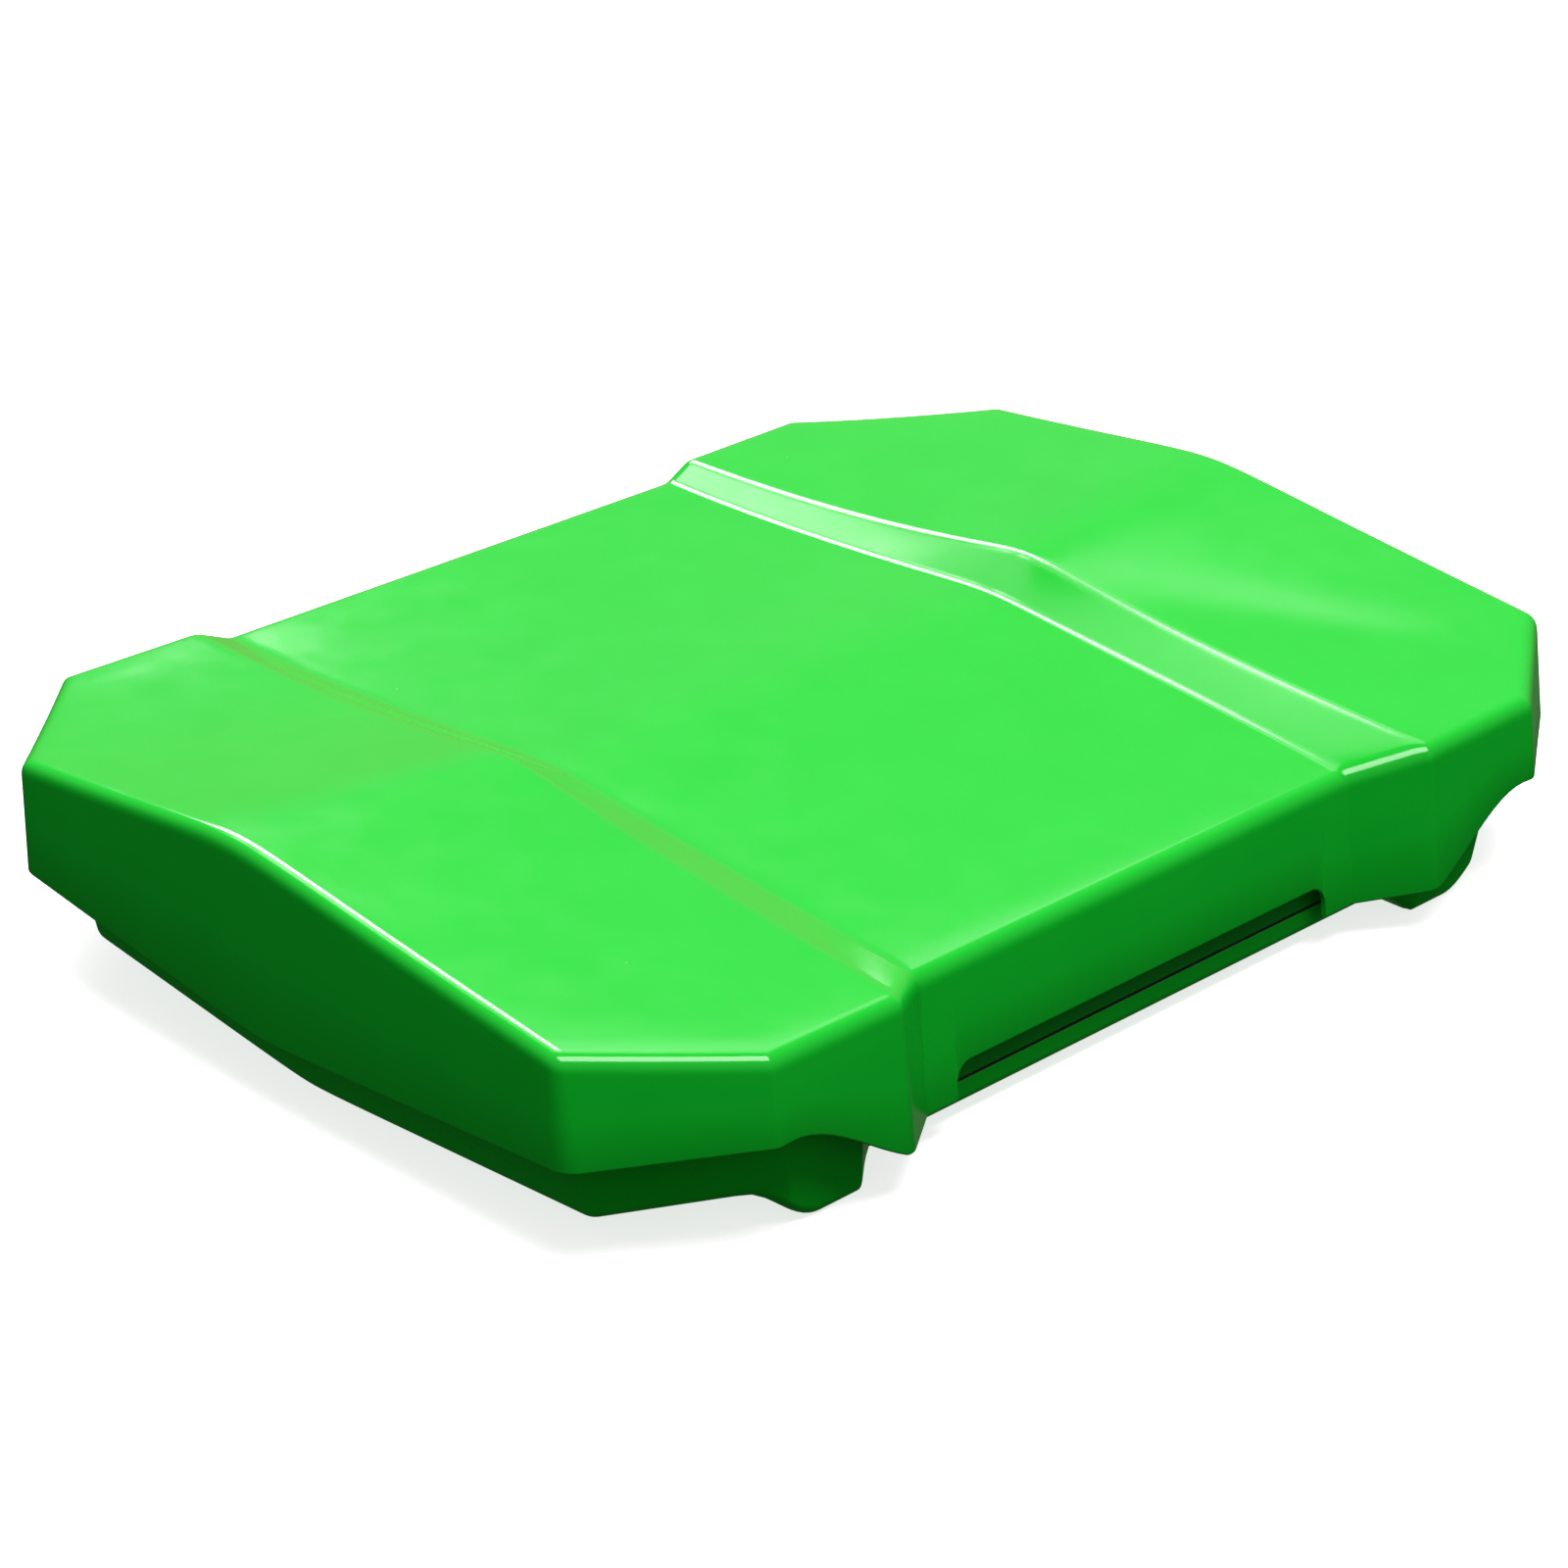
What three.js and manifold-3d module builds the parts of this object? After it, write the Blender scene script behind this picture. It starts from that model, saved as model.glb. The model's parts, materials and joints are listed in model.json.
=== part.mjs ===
// Two-shell moulded roof hood for a play platform.
//
// A glossy roof moulding with a creased crown, a shallow channel across its middle and four skirt
// lobes stands on a lower moulding with four feet. A moulded liner ring, bonded under the roof,
// is clipped to the lower moulding over a rubber seal. A steel frame inside carries the loads from
// the feet to the crown.
//
// Millimetres. +X is the side with the deeper waist, +Y is the length, +Z is up. The origin is the
// middle of the box's underside, and the part is the same on both sides of the XZ plane.

import * as THREE from 'three';
import { mergeVertices } from 'three/addons/utils/BufferGeometryUtils.js';
import Module from 'manifold-3d';

// ---------------------------------------------------------------- driving dimensions

const HALF_LENGTH = 684;      // middle to the sharp top edge of an end face
const ROOF_WALL = 6;
const ROOF_EDGE = 16;         // leg of the rounded edge between the top and the skirt
const PAN_WALL = 6;
const PAN_EDGE = 13;
const LINER_WALL = 5;
const FLANGE = 18;            // reach of the two flanges that grip the seal
const FLANGE_WALL = 4;
const SEAL = 3;
const GAP = 0.3;              // kept between pieces that touch
const BOND = 4;               // adhesive bead between the liner and the roof
const KNEE = 7;               // half the rounded stretch where the top changes slope

// Each side of an outline runs from the middle (y = 0) to the end face. A corner gives the distance
// from the YZ plane, the distance from the XZ plane, the radius of the upright edge, the draft of
// the face that leads to it, and the number of stretches that this face is divided into.
const ROOF_SIDES = {
  right: [
    { x: 475.5, y: 0 },
    { x: 475.5, y: 302, radius: 14, draft: 0.118, parts: 3 },
    { x: 524.5, y: 371, radius: 8, draft: 0.094, parts: 3 },
    { x: 524.5, y: 530.5, radius: 8, draft: 0.115, parts: 4 },
    { x: 414, y: HALF_LENGTH, radius: 19, draft: 0.11, parts: 2 },
  ],
  left: [
    { x: 518.5, y: 0 },
    { x: 518.5, y: 310, radius: 14, draft: 0.1, parts: 3 },
    { x: 524.5, y: 348, radius: 8, draft: 0.099, parts: 3 },
    { x: 524.5, y: 512, radius: 8, draft: 0.1, parts: 4 },
    { x: 354.5, y: HALF_LENGTH, radius: 19, draft: 0, parts: 2 },
  ],
  endDraft: 0.025,
};

const FOOT = {
  start: 394, flat: 444, fade: 515, rampWidth: 33, lead: 15, innerRight: 415, innerLeft: 399,
};
const PAN_HALF_LENGTH = 638;
const PAN_DRAFT = 0.08;
const PAN_SIDES = {
  right: [
    { x: 469.5, y: 0 },
    { x: 469.5, y: 302, radius: 0, draft: PAN_DRAFT, parts: 2 },
    { x: 469.5, y: 354, radius: 10, draft: PAN_DRAFT, parts: 1 },
    { x: 499, y: FOOT.start, radius: 8, draft: 0.02, parts: 2 },
    { x: 499, y: FOOT.flat, radius: 0, draft: PAN_DRAFT, parts: 1 },
    { x: 499, y: 482, radius: 8, draft: PAN_DRAFT, parts: 2 },
    { x: 406, y: PAN_HALF_LENGTH, radius: 18, draft: 0.15, parts: 3 },
  ],
  left: [
    { x: 475.5, y: 0 },
    { x: 475.5, y: 310, radius: 0, draft: PAN_DRAFT, parts: 2 },
    { x: 475.5, y: 354, radius: 10, draft: PAN_DRAFT, parts: 1 },
    { x: 487, y: FOOT.start, radius: 8, draft: 0.05, parts: 2 },
    { x: 487, y: FOOT.flat, radius: 0, draft: PAN_DRAFT, parts: 1 },
    { x: 487, y: 456, radius: 8, draft: PAN_DRAFT, parts: 2 },
    { x: 310, y: PAN_HALF_LENGTH, radius: 18, draft: 0.15, parts: 3 },
  ],
  endDraft: 0.24,
};

// The crown in three cross-sections: the waist, the top of the step, and the end face. Each side
// falls from the peak to its edge height, starting at slope fall and arriving at slope level.
const CROWN = {
  waist: {
    crease: -11.5, peak: 221.5, soft: 45,
    rightX: 475.5, rightZ: 177.5, rightFall: -0.115, rightLevel: -0.1,
    leftX: -518.5, leftZ: 202, leftFall: -0.09, leftLevel: 0.02,
  },
  step: {
    crease: -16.5, peak: 250.5, soft: 30,
    rightX: 524.5, rightZ: 200, rightFall: -0.17, rightLevel: -0.065,
    leftX: -524.5, leftZ: 217, leftFall: -0.155, leftLevel: 0.01,
  },
  end: {
    crease: -33.5, peak: 267.5, soft: 50,
    rightX: 524.5, rightZ: 203.5, rightFall: -0.135, rightLevel: -0.115,
    leftX: -524.5, leftZ: 220.5, leftFall: -0.12, leftLevel: -0.085,
  },
};

// Lower edge of the skirt: a shallow V on the end faces, a crest at the side corners, four lobes.
const SKIRT = {
  keelX: 14.5, keelZ: 78, keelSoft: 25, cornerRightZ: 107, cornerLeftZ: 119,
  crestRightZ: 117, crestLeftZ: 130, crestY: 515,
  lobeZ: 48, lobeY: 368, lobeRise: 0.42, waistZ: 40, waistY: 306,
};
const NOTCH = {
  halfLength: 262, top: 74.5, bottom: 20, radius: 20, reach: 60, rightX: 500, leftX: -530,
};

// Underside of the lower moulding: a shallow V that is deeper at the ends, and the seam above it.
const PAN = {
  keelX: 18.5, keelZ: 9, soft: 25, waistSlope: 0.0155, endRight: 0.064, endLeft: 0.115,
};
const SEAM = { waistZ: 44, endZ: 110, riseStart: 360, riseEnd: 470 };

const LINER_LEAN = 16;        // how far the liner's top stands in from the lower moulding's outline

// The steel frame: cross beams over the feet, side rails between them, and a beam under the ridge.
const FRAME = { y: 423, base: 50, leftEnd: -466, rightEnd: 477.5, wall: 3 };
const CROSS = { height: 40, width: 30 };
const RAIL = { x: 400, size: 30 };
const RIDGE = { x: -12, height: 30, width: 40, halfLength: 510 };
const FOOT_X = { right: 447, left: -434 };
const PLATE = { length: 62, width: 34, thick: 6 };
const POST_HOLE = 7;          // radius of the hole for the post's own bolt, in foot and plate
const BOLT = { radius: 4.9, hole: 5.5, head: 9, headHeight: 6, pitch: 42, spacer: 9.5 };
const NUT = { bore: 6.1, height: 8, proud: 4 };
const DRILL = 60;             // length of the cutters for bolt and post holes
const WELD_NUT = { radius: 10.5, height: 10 };
const PROP = {
  places: { front: -480, middle: 0, rear: 480 }, radius: 17, wall: 3, padRadius: 20, pad: 7,
};
const CLIP = {
  length: 40, cover: 12, wall: 1.5, endPlay: 1, waistPlaces: [-180, 0, 180], endPlaces: [-160, 190],
};
const BEAD_CLEAR = 1;         // between the roof's underside and what stands under it
const DRAFT_REACH = 100;      // depth over which a wall's sideways drift is worked out

// ---------------------------------------------------------------- materials

const moulded = (color) => new THREE.MeshStandardMaterial({ color, roughness: 0.22, metalness: 0 });
const roofPlastic = moulded(0x1fc23a);
const panPlastic = moulded(0x14962c);
const linerPlastic = moulded(0x128a28);
const rubber = new THREE.MeshStandardMaterial({ color: 0x1c1e1d, roughness: 0.85, metalness: 0 });
const adhesive = new THREE.MeshStandardMaterial({ color: 0xd9d6c8, roughness: 0.6, metalness: 0 });
const zincSteel = new THREE.MeshStandardMaterial({ color: 0xa9adb0, roughness: 0.45, metalness: 0.9 });
const springSteel = new THREE.MeshStandardMaterial({ color: 0x6f7478, roughness: 0.35, metalness: 1 });

// ---------------------------------------------------------------- small formulas

const lerp = (a, b, t) => a + (b - a) * t;
const clamp = (t) => Math.min(1, Math.max(0, t));
const smoothstep = (a, b, v) => {
  const t = clamp((v - a) / (b - a));
  return t * t * (3 - 2 * t);
};
// Distance with a rounded bottom in place of the kink at zero.
const softDistance = (d, soft) => Math.hypot(d, soft) - soft;
// Zero, then a straight rise of slope one, with a rounded knee of half-width KNEE between them.
const knee = (d) => {
  if (d < -KNEE) return 0;
  return d > KNEE ? d : (d + KNEE) ** 2 / (4 * KNEE);
};
// Cubic from a to b with the given end slopes, over a span.
const hermite = (a, b, slopeA, slopeB, span, t) =>
  a * (1 + 2 * t) * (1 - t) ** 2 + b * t * t * (3 - 2 * t)
  + span * (slopeA * t * (1 - t) ** 2 + slopeB * t * t * (t - 1));

// ---------------------------------------------------------------- heights

// The step across the roof runs straight from one side's corners to the other's.
function stepLines(x) {
  const [, footR, topR] = ROOF_SIDES.right;
  const [, footL, topL] = ROOF_SIDES.left;
  return {
    foot: lerp(footL.y, footR.y, (x + footL.x) / (footL.x + footR.x)),
    top: lerp(topL.y, topR.y, (x + topL.x) / (topL.x + topR.x)),
  };
}

// The crown's cross-section at any y, mixed from the three that are given.
function crownAt(x, y) {
  const { foot, top } = stepLines(x);
  const rise = knee(Math.abs(y) - top);
  const ramp = (knee(Math.abs(y) - foot) - rise) / (top - foot);
  const run = rise / (HALF_LENGTH - top);
  const { waist, step, end } = CROWN;
  const mixed = {};
  for (const key of Object.keys(waist)) {
    mixed[key] = waist[key] + (step[key] - waist[key]) * ramp + (end[key] - step[key]) * run;
  }
  return mixed;
}

function roofHeight(x, y) {
  const c = crownAt(x, y);
  const right = x > c.crease;
  const span = Math.abs((right ? c.rightX : c.leftX) - c.crease);
  const t = softDistance(x - c.crease, c.soft) / softDistance(span, c.soft);
  return right
    ? hermite(c.peak, c.rightZ, c.rightFall, c.rightLevel, span, t)
    : hermite(c.peak, c.leftZ, c.leftFall, c.leftLevel, span, t);
}

function skirtHeight(x, y) {
  const right = x > SKIRT.keelX;
  const side = right ? ROOF_SIDES.right : ROOF_SIDES.left;
  const corner = side[4];
  const cornerZ = right ? SKIRT.cornerRightZ : SKIRT.cornerLeftZ;
  const crestZ = right ? SKIRT.crestRightZ : SKIRT.crestLeftZ;
  const away = Math.abs(y);
  if (away > HALF_LENGTH - 1) {
    const reach = Math.abs(corner.x * (right ? 1 : -1) - SKIRT.keelX);
    const t = softDistance(x - SKIRT.keelX, SKIRT.keelSoft) / softDistance(reach, SKIRT.keelSoft);
    return lerp(SKIRT.keelZ, cornerZ, t);
  }
  if (away > SKIRT.crestY) {
    return lerp(crestZ, cornerZ, (away - SKIRT.crestY) / (HALF_LENGTH - SKIRT.crestY));
  }
  if (away > SKIRT.lobeY) {
    const span = SKIRT.crestY - SKIRT.lobeY;
    return hermite(SKIRT.lobeZ, crestZ, SKIRT.lobeRise, 0, span, (away - SKIRT.lobeY) / span);
  }
  return lerp(SKIRT.waistZ, SKIRT.lobeZ, clamp((away - SKIRT.waistY) / (SKIRT.lobeY - SKIRT.waistY)));
}

// One where a foot stands, zero on the rest of the underside.
function footShare(x, y) {
  const inner = x > 0 ? FOOT.innerRight : FOOT.innerLeft;
  const across = clamp((Math.abs(x) - inner + FOOT.rampWidth) / FOOT.rampWidth);
  const away = Math.abs(y);
  const lead = clamp((away - FOOT.start + FOOT.lead) / FOOT.lead);
  return across * lead * (1 - smoothstep(FOOT.flat, FOOT.fade, away));
}

function panHeight(x, y) {
  const endSlope = x > PAN.keelX ? PAN.endRight : PAN.endLeft;
  const slope = lerp(PAN.waistSlope, endSlope, smoothstep(FOOT.start, FOOT.fade, Math.abs(y)));
  const base = PAN.keelZ + slope * softDistance(x - PAN.keelX, PAN.soft);
  return base * (1 - footShare(x, y));
}

const seamHeight = (x, y) =>
  lerp(SEAM.waistZ, SEAM.endZ, smoothstep(SEAM.riseStart, SEAM.riseEnd, Math.abs(y)));

// ---------------------------------------------------------------- plan outlines

// Where the lines through two edges meet after each edge has moved out by its own distance.
function meet(a, b) {
  const cross = a.dx * b.dy - a.dy * b.dx;
  if (Math.abs(cross) < 1e-6) return [b.x, b.y];
  const t = ((b.x - a.x) * b.dy - (b.y - a.y) * b.dx) / cross;
  return [a.x + a.dx * t, a.y + a.dy * t];
}

// One side of an outline, moved out by offset(draft): plan points from y = 0 to the end face.
function sideLine(corners, endDraft, offset) {
  const edges = corners.slice(1).map((corner, k) => {
    const from = corners[k];
    const length = Math.hypot(corner.x - from.x, corner.y - from.y);
    const dx = (corner.x - from.x) / length;
    const dy = (corner.y - from.y) / length;
    const out = offset(corner.draft);
    return { x: from.x + dy * out, y: from.y - dx * out, dx, dy, out };
  });
  const last = corners[corners.length - 1];
  const endOut = offset(endDraft);
  edges.push({ x: last.x, y: last.y + endOut, dx: -1, dy: 0, out: endOut });

  const points = [[edges[0].x, 0]];
  corners.slice(1).forEach((corner, k) => {
    const [before, after] = [edges[k], edges[k + 1]];
    const [cx, cy] = meet(before, after);
    const turn = Math.asin(before.dx * after.dy - before.dy * after.dx);
    const radius = corner.radius + Math.sign(turn) * before.out;
    const leg = corner.radius ? Math.max(radius * Math.tan(Math.abs(turn) / 2), 0.6) : 0;
    const arrive = [cx - before.dx * leg, cy - before.dy * leg];
    const leave = [cx + after.dx * leg, cy + after.dy * leg];
    const start = points[points.length - 1];
    for (let i = 1; i <= corner.parts; i += 1) {
      const t = i / corner.parts;
      points.push([lerp(start[0], arrive[0], t), lerp(start[1], arrive[1], t)]);
    }
    if (leg) points.push(leave);
  });
  return points;
}

// Fractions of the half-width at which the columns of a moulding's face run.
const ROOF_COLUMNS = [0, 0.03, 0.09, 0.22, 0.45, 0.72, 1];
const PAN_COLUMNS = [0, 0.06, 0.3, 0.55, 0.77, 0.85, 1];

// A grid of plan points: rows run across the part, from the left side to the right side.
function planRows(sides, columns, centre, offset) {
  const right = sideLine(sides.right, sides.endDraft, offset);
  const left = sideLine(sides.left, sides.endDraft, offset).map(([x, y]) => [-x, y]);
  const half = right.map((to, i) => {
    const from = left[i];
    const share = (centre(to[1]) - from[0]) / (to[0] - from[0]);
    const shares = [
      ...columns.slice(1).reverse().map((c) => share * (1 - c)),
      ...columns.map((c) => lerp(share, 1, c)),
    ];
    return shares.map((s) => [lerp(from[0], to[0], s), lerp(from[1], to[1], s)]);
  });
  const mirrored = half.slice(1).reverse().map((row) => row.map(([x, y]) => [x, -y]));
  return [...mirrored, ...half];
}

// The loop round a grid, starting at the right side of the rear row and turning towards +Y.
function border(rows) {
  const last = rows[0].length - 1;
  return [
    ...rows.map((row) => row[last]),
    ...rows[rows.length - 1].slice(1, last).reverse(),
    ...rows.map((row) => row[0]).reverse(),
    ...rows[0].slice(1, last),
  ];
}

// ---------------------------------------------------------------- solids

function solid(triangles) {
  const geometry = new THREE.BufferGeometry();
  geometry.setAttribute('position', new THREE.Float32BufferAttribute(triangles.flat(2), 3));
  const merged = mergeVertices(geometry, 1e-4);
  merged.computeVertexNormals();
  return merged;
}

const distance = (p, q) => Math.hypot(p[0] - q[0], p[1] - q[1], p[2] - q[2]);

// A quad split along its shorter diagonal, so that faces that lie on each other split alike.
function quad(a, b, c, d) {
  return distance(a, c) <= distance(b, d) ? [[a, b, c], [a, c, d]] : [[a, b, d], [b, c, d]];
}

function bandBetween(lower, upper) {
  return lower.flatMap((p, i) => {
    const j = (i + 1) % lower.length;
    return quad(p, lower[j], upper[j], upper[i]);
  });
}

// A solid ring from the loops round its cross-section, in order: outside up, inside down.
function ring(loops) {
  return solid(loops.flatMap((loop, k) => bandBetween(loop, loops[(k + 1) % loops.length])));
}

const flip = (triangles) => triangles.map(([a, b, c]) => [a, c, b]);

// A moulding is a face with a rounded edge and a drafted wall, and the same again inside it.
// grow is +1 where the wall stands up from the face, and -1 where it hangs down. A flange turns
// inward at the rim, by flange.
function moulding({ sides, columns, centre, height, rim, wall, edge, grow, flange = 0 }) {
  const plan = (offset) => planRows(sides, columns, centre, offset);
  const inset = plan(() => -edge);
  const sharpEdge = border(plan(() => 0));
  const flared = border(plan((draft) => draft * DRAFT_REACH));
  const drift = sharpEdge.map(([x, y], i) =>
    [(flared[i][0] - x) / DRAFT_REACH, (flared[i][1] - y) / DRAFT_REACH]);
  const rims = sharpEdge.map(([x, y]) => rim(x, y));
  const depths = sharpEdge.map(([x, y], i) => Math.abs(rims[i] - height(x, y)));

  // A loop at the rim's own height plus lift, standing in from the wall's outside by depthIn.
  const rimLoop = (depthIn, lift) => border(plan(() => -depthIn)).map(([x, y], i) =>
    [x + drift[i][0] * depths[i], y + drift[i][1] * depths[i], rims[i] + lift]);

  const sheet = (thickness) => {
    const lift = thickness * grow;
    const face = inset.map((row) => row.map(([x, y]) => [x, y, height(x, y) + lift]));
    const corner = border(plan(() => -thickness));
    const level = (down) => corner.map(([x, y], i) =>
      [x + drift[i][0] * down, y + drift[i][1] * down, height(x, y) + lift + down * grow]);
    const top = border(face);
    const handle = level(0);
    const arrive = level(edge - thickness);
    const rounded = [1 / 3, 2 / 3].map((t) => top.map((p, i) => p.map((v, k) =>
      v * (1 - t) ** 2 + handle[i][k] * 2 * t * (1 - t) + arrive[i][k] * t * t)));
    const lip = rimLoop(thickness, thickness && flange ? -FLANGE_WALL * grow : 0);
    return { face, loops: [top, ...rounded, arrive, lip] };
  };

  const skin = ({ face, loops }) => [
    ...face.slice(1).flatMap((row, i) => row.slice(1).flatMap((p, j) =>
      quad(face[i][j], face[i][j + 1], p, row[j]))),
    ...loops.slice(1).flatMap((loop, k) => flip(bandBetween(loops[k], loop))),
  ];
  const outer = sheet(0);
  const inner = sheet(wall);
  const turned = flange ? [rimLoop(wall + flange, 0), rimLoop(wall + flange, -FLANGE_WALL * grow)] : [];
  const lips = [outer.loops.at(-1), ...turned, inner.loops.at(-1)];
  const lipBands = lips.slice(1).flatMap((loop, k) => flip(bandBetween(lips[k], loop)));
  const triangles = [...skin(outer), ...lipBands, ...flip(skin(inner))];
  return { geometry: solid(grow < 0 ? triangles : flip(triangles)), rimLoop };
}

// ---------------------------------------------------------------- cutting

const wasm = await Module();
wasm.setup();

function toManifold(geometry) {
  const bare = geometry.clone();
  bare.deleteAttribute('normal');
  bare.deleteAttribute('uv');
  const merged = mergeVertices(bare, 1e-4);
  return new wasm.Manifold(new wasm.Mesh({
    numProp: 3,
    vertProperties: new Float32Array(merged.attributes.position.array),
    triVerts: new Uint32Array(merged.index.array),
  }));
}

function cut(geometry, cutters) {
  const result = cutters.reduce((body, cutter) => body.subtract(toManifold(cutter)), toManifold(geometry));
  const { vertProperties, triVerts } = result.getMesh();
  const shape = new THREE.BufferGeometry();
  shape.setAttribute('position', new THREE.Float32BufferAttribute(vertProperties, 3));
  shape.setIndex(new THREE.Uint32BufferAttribute(triVerts, 1));
  shape.computeVertexNormals();
  return shape;
}

// ---------------------------------------------------------------- stock shapes

function place(geometry, x, y, z) {
  return geometry.translate(x, y, z);
}

// An upright cylinder that starts at height z.
function rod(radius, height, x, y, z, sides = 12) {
  const upright = new THREE.CylinderGeometry(radius, radius, height, sides).rotateX(Math.PI / 2);
  return place(upright, x, y, z + height / 2);
}

// An upright cutter whose middle is at height z.
const drill = (radius, x, y, z) => rod(radius, DRILL, x, y, z - DRILL / 2);

function rectangle(width, height) {
  return new THREE.Shape([
    new THREE.Vector2(-width / 2, -height / 2), new THREE.Vector2(width / 2, -height / 2),
    new THREE.Vector2(width / 2, height / 2), new THREE.Vector2(-width / 2, height / 2),
  ]);
}

// Square tube along +Z, centred on the origin.
function squareTube(width, height, wall, length) {
  const shape = rectangle(width, height);
  shape.holes.push(rectangle(width - 2 * wall, height - 2 * wall));
  const bar = new THREE.ExtrudeGeometry(shape, { depth: length, bevelEnabled: false });
  return bar.translate(0, 0, -length / 2);
}

const alongX = (geometry) => geometry.rotateY(Math.PI / 2);
const alongY = (geometry) => geometry.rotateX(Math.PI / 2);

// Upright tube that starts at height z.
function tube(outer, bore, height, x, y, z, sides = 16) {
  const shape = new THREE.Shape().absarc(0, 0, outer, 0, 2 * Math.PI, false);
  shape.holes.push(new THREE.Path().absarc(0, 0, bore, 0, 2 * Math.PI, true));
  const options = { depth: height, bevelEnabled: false, curveSegments: sides };
  return place(new THREE.ExtrudeGeometry(shape, options), x, y, z);
}

// Hexagon-head bolt, pointing down, with the underside of its head at height z.
function bolt(length, x, y, z) {
  const { radius, head, headHeight } = BOLT;
  const outline = [
    [0, -length], [radius, -length], [radius, 0], [head, 0], [head, headHeight], [0, headHeight],
  ];
  const points = outline.map(([r, h]) => new THREE.Vector2(r, h));
  return place(new THREE.LatheGeometry(points, 12).rotateX(Math.PI / 2), x, y, z);
}

const feet = [
  { name: 'front_right', x: FOOT_X.right, y: -FRAME.y },
  { name: 'front_left', x: FOOT_X.left, y: -FRAME.y },
  { name: 'rear_right', x: FOOT_X.right, y: FRAME.y },
  { name: 'rear_left', x: FOOT_X.left, y: FRAME.y },
];
const pair = (x) => [x - BOLT.pitch / 2, x + BOLT.pitch / 2];
const boltPlaces = feet.flatMap(({ x, y }) => pair(x).map((bx) => [bx, y]));

const hood = new THREE.Group();
function add(name, geometry, material) {
  const mesh = new THREE.Mesh(geometry, material);
  mesh.name = name;
  hood.add(mesh);
}

function addEach(name, geometries, material) {
  geometries.forEach((geometry, i) => add(`${name}_${i + 1}`, geometry, material));
}

// ---------------------------------------------------------------- roof shell

const creaseAt = (y) => crownAt(0, y).crease;
const roof = moulding({
  sides: ROOF_SIDES, columns: ROOF_COLUMNS, centre: creaseAt, height: roofHeight, rim: skirtHeight,
  wall: ROOF_WALL, edge: ROOF_EDGE, grow: -1,
});

// A block with two rounded upper corners, long in Y, that opens the skirt at the waist.
function notchCutter(x) {
  const { halfLength: h, top, bottom, radius: r, reach } = NOTCH;
  const shape = new THREE.Shape();
  shape.moveTo(-h, bottom);
  shape.lineTo(h, bottom);
  shape.lineTo(h, top - r);
  shape.absarc(h - r, top - r, r, 0, Math.PI / 2, false);
  shape.lineTo(r - h, top);
  shape.absarc(r - h, top - r, r, Math.PI / 2, Math.PI, false);
  const block = new THREE.ExtrudeGeometry(shape, { depth: reach, bevelEnabled: false, curveSegments: 4 });
  return block.translate(0, 0, -reach / 2).rotateX(Math.PI / 2).rotateZ(Math.PI / 2).translate(x, 0, 0);
}

const notches = [NOTCH.rightX, NOTCH.leftX].map(notchCutter);
add('roof_shell', cut(roof.geometry, notches), roofPlastic);

// ---------------------------------------------------------------- lower moulding, seal and liner

const pan = moulding({
  sides: PAN_SIDES, columns: PAN_COLUMNS, centre: () => PAN.keelX, height: panHeight, rim: seamHeight,
  wall: PAN_WALL, edge: PAN_EDGE, grow: 1, flange: FLANGE,
});
const postHoles = feet.map(({ x, y }) => drill(POST_HOLE, x, y, 0));
add('lower_shell', cut(pan.geometry, postHoles), panPlastic);

const sealTop = GAP + SEAL;
add('seam_seal', ring([
  pan.rimLoop(0, GAP), pan.rimLoop(0, sealTop),
  pan.rimLoop(PAN_WALL + FLANGE, sealTop), pan.rimLoop(PAN_WALL + FLANGE, GAP),
]), rubber);

// The liner leans in as it rises, and its top follows the underside of the roof.
function underRoof(depthIn, below) {
  const plan = planRows(PAN_SIDES, PAN_COLUMNS, () => PAN.keelX, () => -depthIn);
  return border(plan).map(([x, y]) => [x, y, roofHeight(x, y) - ROOF_WALL - BEAD_CLEAR - below]);
}
const linerFoot = sealTop + GAP;
add('liner_ring', ring([
  pan.rimLoop(0, linerFoot),
  underRoof(LINER_LEAN, BOND + GAP),
  underRoof(LINER_LEAN + LINER_WALL, BOND + GAP),
  pan.rimLoop(LINER_WALL, linerFoot + FLANGE_WALL),
  pan.rimLoop(PAN_WALL + FLANGE, linerFoot + FLANGE_WALL),
  pan.rimLoop(PAN_WALL + FLANGE, linerFoot),
]), linerPlastic);
add('bond_bead', ring([
  underRoof(LINER_LEAN, BOND), underRoof(LINER_LEAN, 0),
  underRoof(LINER_LEAN + LINER_WALL, 0), underRoof(LINER_LEAN + LINER_WALL, BOND),
]), adhesive);

// ---------------------------------------------------------------- flange clips

// Spring channel that grips both flanges: its mouth faces +X and its web stands at the origin.
function clip() {
  const stack = linerFoot + 2 * FLANGE_WALL + 2 * GAP;
  const { cover, wall, length } = CLIP;
  const low = -FLANGE_WALL - GAP;
  const outline = [
    [-wall, low - wall], [cover, low - wall], [cover, low], [0, low],
    [0, low + stack], [cover, low + stack], [cover, low + stack + wall], [-wall, low + stack + wall],
  ];
  const shape = new THREE.Shape(outline.map(([u, v]) => new THREE.Vector2(u, v)));
  const channel = new THREE.ExtrudeGeometry(shape, { depth: length, bevelEnabled: false });
  return alongY(channel.translate(0, 0, -length / 2));
}

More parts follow.
